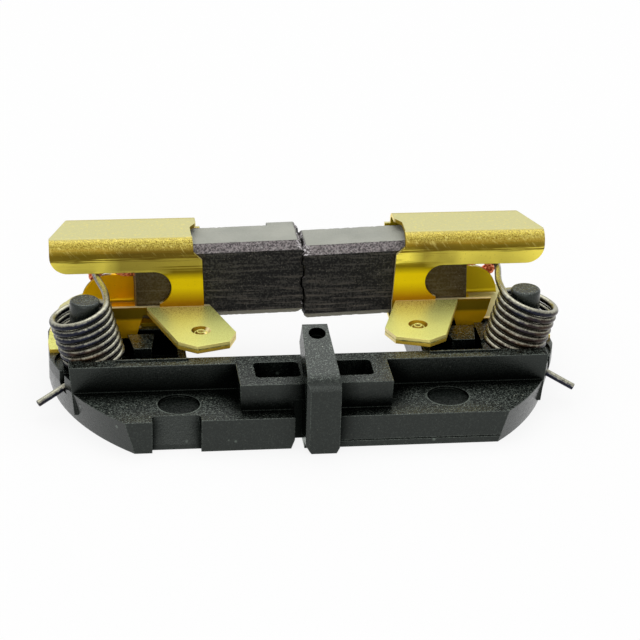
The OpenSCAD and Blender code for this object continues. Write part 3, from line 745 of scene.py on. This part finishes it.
class WornBar:
    """One pressed carbon bar, lying along X with its contact end at X = 0, in metres."""

    def __init__(self, settings, side, rise):
        self.settings = settings
        self.side = side
        self.rise = rise
        self.square = settings.square if side == "left" else 0.0
        self.seed = 3.0 if side == "left" else 11.0

    def stand_back(self, y, z):
        """How far the worn face stands back at one spot. Where one brush's does, the other's stands out."""
        y, z = y / MM, (z + self.rise) / MM
        line = 2.8 * noise.noise(Vector((2, y * 0.8, z * 0.8)))
        line += 1.5 * noise.noise(Vector((7, y * 2.2, z * 2.6)))
        line = max(-1.0, min(1.0, line)) * -mirror_sign(self.side)
        fine = max(0.0, noise.noise(Vector((self.seed + 5, y * 4.5, z * 4.5))))
        return self.settings.stand_back + self.settings.chips * (0.5 * line + 0.4 * fine)

    def outline(self):
        """Points round the section: place, outward direction, distance from a corner, and square place."""
        w, h, c = self.settings.width / 2, self.settings.height, self.settings.chamfer
        corners = [(-w, c), (-w + c, 0), (w - c, 0), (w, c), (w, h - c), (w - c, h), (-w + c, h), (-w, h - c)]
        # the upper chamfer at the back, which starts square on the left brush
        square_chamfer, chamfer_steps, flat_step = 4, 5, 0.24 * MM
        points = []
        for i, a in enumerate(corners):
            b = corners[(i + 1) % 8]
            dy, dz = b[0] - a[0], b[1] - a[1]
            size = math.hypot(dy, dz)
            steps = chamfer_steps if i % 2 == 0 else max(2, round(size / flat_step))
            back = corners[i - 1]
            by, bz = a[0] - back[0], a[1] - back[1]
            for j in range(steps):
                t = j / steps
                ny, nz = dz / size, -dy / size
                if j == 0:
                    ny, nz = ny + bz / math.hypot(by, bz), nz - by / math.hypot(by, bz)
                    ny, nz = ny / math.hypot(ny, nz), nz / math.hypot(ny, nz)
                y, z = a[0] + dy * t, a[1] + dz * t
                full = (y, z)
                if i == square_chamfer:
                    full = (w, h - c + 2 * t * c) if t < 0.5 else (w - (2 * t - 1) * c, h)
                points.append((y, z, ny, nz, min(t, 1 - t) * size, full))
        return points

    def places(self):
        """Distances of the rings from the contact end, close together wherever the bar changes."""
        length, square = self.settings.length, self.square
        near, far = [0, 0.035, 0.09, 0.18, 0.3, 0.45, 0.65, 0.9], (0.4, 0.2, 0.08, 0.02, 0)
        step, count = 0.28, 57
        places = [x * MM for x in near + [near[-1] + step * k for k in range(1, count)]]
        places = [x for x in places if x < length - 0.5 * MM]
        if square:
            places = sorted([x for x in places if abs(x - square) > 0.05 * MM] + [square, square + 0.03 * MM])
        return places + [length - x * MM for x in far]

    def ring(self, bm, x, outline):
        """Points of the section at X = x, worn in at the edges, the ends and the contact face."""
        settings = self.settings
        end_in, end_out = x / MM, (settings.length - x) / MM
        cut, height = settings.end_cut / MM, settings.height / MM
        points = []
        for y, z, ny, nz, away, full in outline:
            if self.square and x <= self.square + 1e-9:
                y, z = full
            spot = Vector((x, y, z)) / MM
            near_edge = max(0.0, 1 - away / (0.3 * MM))
            # ground corners above and below the contact face
            z = min(max(z / MM, cut - end_in), height - (0.8 * cut - end_in)) * MM
            coarse = noise.noise(spot * 2.3 + Vector((self.seed, 0, 0)))
            fine = noise.noise(spot * 7.0 + Vector((0, self.seed, 0)))
            inward = 0.004 + 0.004 * fine
            inward += near_edge * (0.02 + 0.10 * max(0.0, coarse * 0.7 + fine * 0.6 - 0.05))
            inward += max(0.0, 1 - end_in / 0.5) ** 2 * (0.05 + 0.30 * max(0.0, coarse + 0.5 * fine))
            inward += max(0.0, 1 - end_out / 0.3) ** 2 * 0.12
            face_in = self.stand_back(y, z) / MM * (1 - end_in / 0.3) if end_in < 0.3 else 0.0
            spot = Vector((x + face_in * MM, y - ny * inward * MM, z - nz * inward * MM))
            points.append(bm.verts.new(spot))
        return points

    def close_contact_end(self, bm, ring):
        """Rings that shrink to the middle of the contact face and follow its wear."""
        centre = Vector((0, 0, self.settings.height / 2))
        last = ring
        for share in (0.94, 0.86, 0.7, 0.5, 0.25):
            inner = []
            for v in ring:
                p = centre + (Vector((0, v.co.y, v.co.z)) - centre) * share
                inner.append(bm.verts.new(Vector((self.stand_back(p.y, p.z), p.y, p.z))))
            band(bm, last, inner)
            last = inner
        middle = bm.verts.new(Vector((self.stand_back(centre.y, centre.z), centre.y, centre.z)))
        for k in range(len(last)):
            bm.faces.new((last[k], last[(k + 1) % len(last)], middle))

    def close_outer_end(self, bm, ring):
        """Outer end face with the drilled hole that holds the braid."""
        sides, depth, radius, lead_in = 28, 2.4 * MM, 0.75 * MM, 0.05 * MM
        x0, y0, z0 = self.settings.length, self.settings.hole_y, self.settings.hole_z
        rims = []
        for x, r in ((x0, radius + lead_in), (x0 - 0.06 * MM, radius), (x0 - depth, radius)):
            rims.append([bm.verts.new(Vector((x, y0 + r * math.cos(a), z0 + r * math.sin(a))))
                         for a in round_angles(sides)])
        for first, second in zip(rims, rims[1:]):
            band(bm, first, second)
        bm.faces.new(rims[-1])
        edges = []
        for loop in (ring, rims[0]):
            for k in range(len(loop)):
                pair = (loop[k], loop[(k + 1) % len(loop)])
                edges.append(bm.edges.get(pair) or bm.edges.new(pair))
        bmesh.ops.triangle_fill(bm, edges=edges, use_beauty=True)

    def mesh(self):
        bm = bmesh.new()
        outline = self.outline()
        rings = [self.ring(bm, x, outline) for x in self.places()]
        for first, second in zip(rings, rings[1:]):
            band(bm, second, first)
        self.close_contact_end(bm, rings[0])
        self.close_outer_end(bm, rings[-1])
        bmesh.ops.recalc_face_normals(bm, faces=bm.faces)
        return bm


# ---- operators ----

class HOLDER_OT_base(bpy.types.Operator):
    """Give the moulded base its satin black finish"""
    bl_idname = "brush_holder.base"
    bl_label = "Finish the base"

    def execute(self, context):
        dress(nodes["holder"], base_plastic(context.scene.holder_base))
        return {"FINISHED"}


class HOLDER_OT_boxes(bpy.types.Operator):
    """Give both folded brush boxes their sheet brass finish"""
    bl_idname = "brush_holder.boxes"
    bl_label = "Finish the brush boxes"

    def execute(self, context):
        brass = sheet_brass(context.scene.holder_brass)
        for side in SIDES:
            dress(nodes[side + "_brush_box"], brass)
        return {"FINISHED"}


class HOLDER_OT_brushes(bpy.types.Operator):
    """Build both carbon brushes with worn edges and contact faces that follow one jagged line"""
    bl_idname = "brush_holder.brushes"
    bl_label = "Build the brushes"

    def execute(self, context):
        settings = context.scene.holder_brush
        carbon = pressed_carbon(settings)
        for side in SIDES:
            node = side + "_carbon_brush"
            dress(nodes[node], carbon)
            turn = place_of_brush(side, settings)
            bm = WornBar(settings, side, turn.translation.z).mesh()
            bm.transform(turn)
            if turn.determinant() < 0:
                bmesh.ops.reverse_faces(bm, faces=bm.faces)
            piece = smooth_piece(side + "_brush_bar", bm, carbon, 28)
            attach(piece, side + "_brush")
            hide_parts(node)
        return {"FINISHED"}


class HOLDER_OT_springs(bpy.types.Operator):
    """Build both torsion springs from drawn wire"""
    bl_idname = "brush_holder.springs"
    bl_label = "Build the springs"

    def execute(self, context):
        settings = context.scene.holder_spring
        wire = spring_wire(settings)
        for side in SIDES:
            node = side + "_brush_spring"
            dress(nodes[node], wire)
            bm = bmesh.new()
            # a hair thinner than the solid it replaces
            add_tube(bm, self.centre_line(side, settings), settings.wire / 2 - 0.004 * MM, 16)
            piece = smooth_piece(side + "_spring_wire", bm, wire, 50)
            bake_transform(piece)
            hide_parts(node)
        return {"FINISHED"}

    def centre_line(self, side, settings):
        """Centre line from the lower leg, up the leaning coil, to the leg that presses on the brush."""
        turn_gap, coil_steps = 0.055, 400
        r, pitch, lean = settings.radius / MM, settings.wire / MM + turn_gap, settings.lean
        seat = Vector((settings.post_x / MM - 0.95, settings.post_y / MM + 0.4, settings.deck / MM + 0.4))

        def coil(angle):
            along = angle / (2 * math.pi) * pitch
            x, y = r * math.cos(-math.pi / 2 - angle), r * math.sin(-math.pi / 2 - angle)
            return seat + Vector((x * math.cos(lean) + along * math.sin(lean), y,
                                  along * math.cos(lean) - x * math.sin(lean)))

        last = 2 * math.pi * settings.turns + math.pi / 2
        foot, top = coil(0), coil(last)
        lower = [Vector((27.2, 1.0, seat.z - 3.1)), Vector((25.7, 1.6, seat.z - 2.4)),
                 Vector((24.4, 2.1, seat.z - 1.75)), Vector((22.9, 2.05, seat.z - 0.62)), foot]
        leg, front = settings.leg / MM, settings.wall / MM
        touch = brush_outer_end(side) / MM + settings.wire / MM / 2
        middle = sum(v.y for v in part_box(side + "_carbon_brush")) / 2 / MM
        upper = [top, top + Vector((0, 1.5, 0)), Vector((top.x + 0.15, 8.3, leg + 0.12)),
                 Vector((top.x + 0.7, front + 0.3, leg)), Vector((top.x + 0.6, front + 1.5, leg + 0.05)),
                 Vector((touch + 1.36, middle - 0.6, leg)), Vector((touch + 0.06, middle + 0.1, leg - 0.1))]
        turns = [coil(last * k / coil_steps) for k in range(1, coil_steps)]
        path = smooth_path(lower, 8) + turns + smooth_path(upper, 10)
        s = mirror_sign(side)
        return [Vector((p.x * s, p.y, p.z)) * MM for p in path]


class HOLDER_OT_braids(bpy.types.Operator):
    """Build both copper braids from brush to box"""
    bl_idname = "brush_holder.braids"
    bl_label = "Build the braids"

    def execute(self, context):
        settings = context.scene.holder_braid
        copper = copper_wire(settings)

        def weld_radius(share):
            """The strands run together into the weld."""
            return settings.diameter / 2 * (0.78 + 0.2 * math.sin(math.pi * min(1, share * 1.3)))

        for side in SIDES:
            node = side + "_shunt"
            dress(nodes[node], copper)
            bm = bmesh.new()
            path = self.centre_line(side, settings)
            self.weave(bm, path, settings)
            add_tube(bm, path[-6:], weld_radius, 20)
            piece = smooth_piece(side + "_braid", bm, copper, 180)
            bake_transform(piece)
            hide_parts(node)
        return {"FINISHED"}

    def centre_line(self, side, settings):
        """From the hole in the brush, over the back wall and down to the weld on its outside."""
        x = brush_outer_end(side) / MM
        low, high = (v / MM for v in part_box(side + "_carbon_brush"))
        brush = bpy.context.scene.holder_brush
        # the outer end is the low one on the left and the high one on the right
        z = low.z + brush.hole_z / MM
        if side == "right":
            z += brush.length / MM * math.sin(brush.right_tilt)
        deck, wall = settings.deck / MM, settings.wall / MM
        back = (low.y + high.y) / 2 + brush.hole_y / MM
        points = [(x - 1.8, back, z), (x + 0.1, back, z), (x + 1.3, back + 0.35, z - 0.1),
                  (x + 2.5, wall - 0.4, max(z - 0.4, deck + 4.45)), (x + 3.7, wall + 0.85, deck + 3.5),
                  (x + 4.1, wall + 1.5, deck + 2.6), (x + 3.2, wall + 1.6, deck + 1.85),
                  (x + 1.5, wall + 1.15, deck + 1.6), (x, wall + 0.67, deck + 1.7),
                  (x - 1.6, wall + 0.67, deck + 1.8)]
        s = mirror_sign(side)
        return [Vector((p.x * s, p.y, p.z)) * MM for p in smooth_path([Vector(p) for p in points], 14)]

    def weave(self, bm, path, settings):
        """Strands wound both ways, each passing over and under the others, round a plain core."""
        frames = carried_frames(path)
        length = [0.0]
        for a, b in zip(path, path[1:]):
            length.append(length[-1] + (b - a).length)
        radius = settings.diameter / 2
        strand, core = radius * 0.17, radius * 0.6
        for way in (1, -1):
            for start in round_angles(settings.strands):
                line = []
                for p, (_, u, v), far in zip(path, frames, length):
                    a = way * (2 * math.pi * far / settings.lay) + start
                    r = radius - strand * (1.75 + 0.65 * way * math.cos(settings.strands * (a - way * 0.3)))
                    line.append(p + r * (math.cos(a) * u + math.sin(a) * v))
                add_tube(bm, line, strand, 6)
        add_tube(bm, path, core, 12, frames)


def seen_directly(tree):
    """1 for rays that show a surface, straight or in a reflection, and 0 for rays that only light others."""
    rays = add(tree, "LightPath").outputs
    shown = math_node("MAXIMUM", rays["Is Glossy Ray"], rays["Is Transmission Ray"])
    return math_node("MAXIMUM", rays["Is Camera Ray"], shown)


def mix_shaders(tree, share, first, second, target):
    mix = add(tree, "MixShader")
    join(tree, [(share, mix.inputs[0]), (first.outputs[0], mix.inputs[1]), (second.outputs[0], mix.inputs[2]),
                (mix.outputs[0], target)])


class HOLDER_OT_stage(bpy.types.Operator):
    """Set the camera, the pale floor and the soft light"""
    bl_idname = "brush_holder.stage"
    bl_label = "Set the stage"

    def execute(self, context):
        scene = context.scene
        settings = scene.holder_stage
        scene.view_settings.view_transform = "Standard"
        self.make_camera(scene)
        self.make_floor(settings)
        self.make_world(scene, settings)
        self.make_lamps(scene, settings)
        return {"FINISHED"}

    def make_camera(self, scene):
        yaw, pitch, roll = (math.radians(a) for a in (7.83, 25.19, 1.75))
        target, distance = Vector((1.44, 5.12, 8.30)) * MM, 251.4 * MM
        data = bpy.data.cameras.new("Camera")
        data.lens = 139.4
        data.sensor_width = 36.0
        data.clip_start = 0.01
        data.clip_end = 10.0
        camera = bpy.data.objects.new("Camera", data)
        scene.collection.objects.link(camera)
        forward = Vector((math.sin(yaw) * math.cos(pitch), math.cos(yaw) * math.cos(pitch), -math.sin(pitch)))
        right = Vector((math.cos(yaw), -math.sin(yaw), 0))
        up = right.cross(forward)
        right_turned = right * math.cos(roll) + up * math.sin(roll)
        up_turned = -right * math.sin(roll) + up * math.cos(roll)
        turn = Matrix((right_turned, up_turned, -forward)).transposed().to_4x4()
        camera.matrix_world = Matrix.Translation(target - forward * distance) @ turn
        scene.camera = camera

    def make_floor(self, settings):
        mat, tree, shader = new_material("Pale floor", {
            "Base Color": (*settings.floor, 1), "Roughness": 0.9, "Specular IOR Level": 0.1})
        white = add(tree, "Emission", {"Color": (1, 1, 1, 1), "Strength": 1.0})
        mix_shaders(tree, times(seen_directly(tree), 0.86), shader, white,
                    tree.nodes["Material Output"].inputs["Surface"])
        bm = bmesh.new()
        bmesh.ops.create_grid(bm, x_segments=2, y_segments=2, size=3.0)
        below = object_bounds()[0].z - 0.02 * MM
        floor = new_object("Floor", bm, mat)
        floor.location = (0, 0, below)
        floor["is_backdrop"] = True

    def make_world(self, scene, settings):
        world = bpy.data.worlds.new("Studio")
        scene.world = world
        world.use_nodes = True
        tree = world.node_tree
        tree.nodes.clear()
        plain = add(tree, "Background", {"Color": (1, 1, 1, 1), "Strength": settings.sky})
        white = add(tree, "Background", {"Color": (1, 1, 1, 1), "Strength": 1.0})
        out = add(tree, "OutputWorld")
        mix_shaders(tree, seen_directly(tree), plain, white, out.inputs["Surface"])

    def make_lamps(self, scene, settings):
        for name, place, size, power in (("Top box", (0.02, 0.10, 0.36), 0.4, settings.key),
                                         ("Front card", (-0.08, -0.42, 0.12), 0.3, settings.fill)):
            data = bpy.data.lights.new(name, "AREA")
            data.shape = "SQUARE"
            data.size = size
            data.energy = power
            lamp = bpy.data.objects.new(name, data)
            lamp.location = place
            lamp.rotation_euler = (-Vector(place)).to_track_quat("-Z", "Y").to_euler()
            scene.collection.objects.link(lamp)


class HOLDER_PT_panel(bpy.types.Panel):
    """The brush holder's settings and steps"""
    bl_label = "Brush Holder"
    bl_idname = "HOLDER_PT_panel"
    bl_space_type = "VIEW_3D"
    bl_region_type = "UI"
    bl_category = "Brush Holder"

    def draw(self, context):
        for group, step in STEPS:
            box = self.layout.box()
            settings = getattr(context.scene, group)
            for key in settings.__annotations__:
                box.prop(settings, key)
            box.operator("brush_holder." + step)


STEPS = (("holder_base", "base"), ("holder_brass", "boxes"), ("holder_brush", "brushes"),
         ("holder_spring", "springs"), ("holder_braid", "braids"), ("holder_stage", "stage"))
GROUPS = {"holder_base": BaseSettings, "holder_brass": BrassSettings, "holder_brush": BrushSettings,
          "holder_spring": SpringSettings, "holder_braid": BraidSettings, "holder_stage": StageSettings}
CLASSES = (*GROUPS.values(), HOLDER_OT_base, HOLDER_OT_boxes, HOLDER_OT_brushes, HOLDER_OT_springs,
           HOLDER_OT_braids, HOLDER_OT_stage, HOLDER_PT_panel)


def register():
    for cls in CLASSES:
        bpy.utils.register_class(cls)
    for name, group in GROUPS.items():
        setattr(bpy.types.Scene, name, bpy.props.PointerProperty(type=group))


def unregister():
    for name in GROUPS:
        delattr(bpy.types.Scene, name)
    for cls in reversed(CLASSES):
        bpy.utils.unregister_class(cls)


def main():
    register()
    for _, step in STEPS:
        getattr(bpy.ops.brush_holder, step)()


if __name__ == "__main__":
    main()
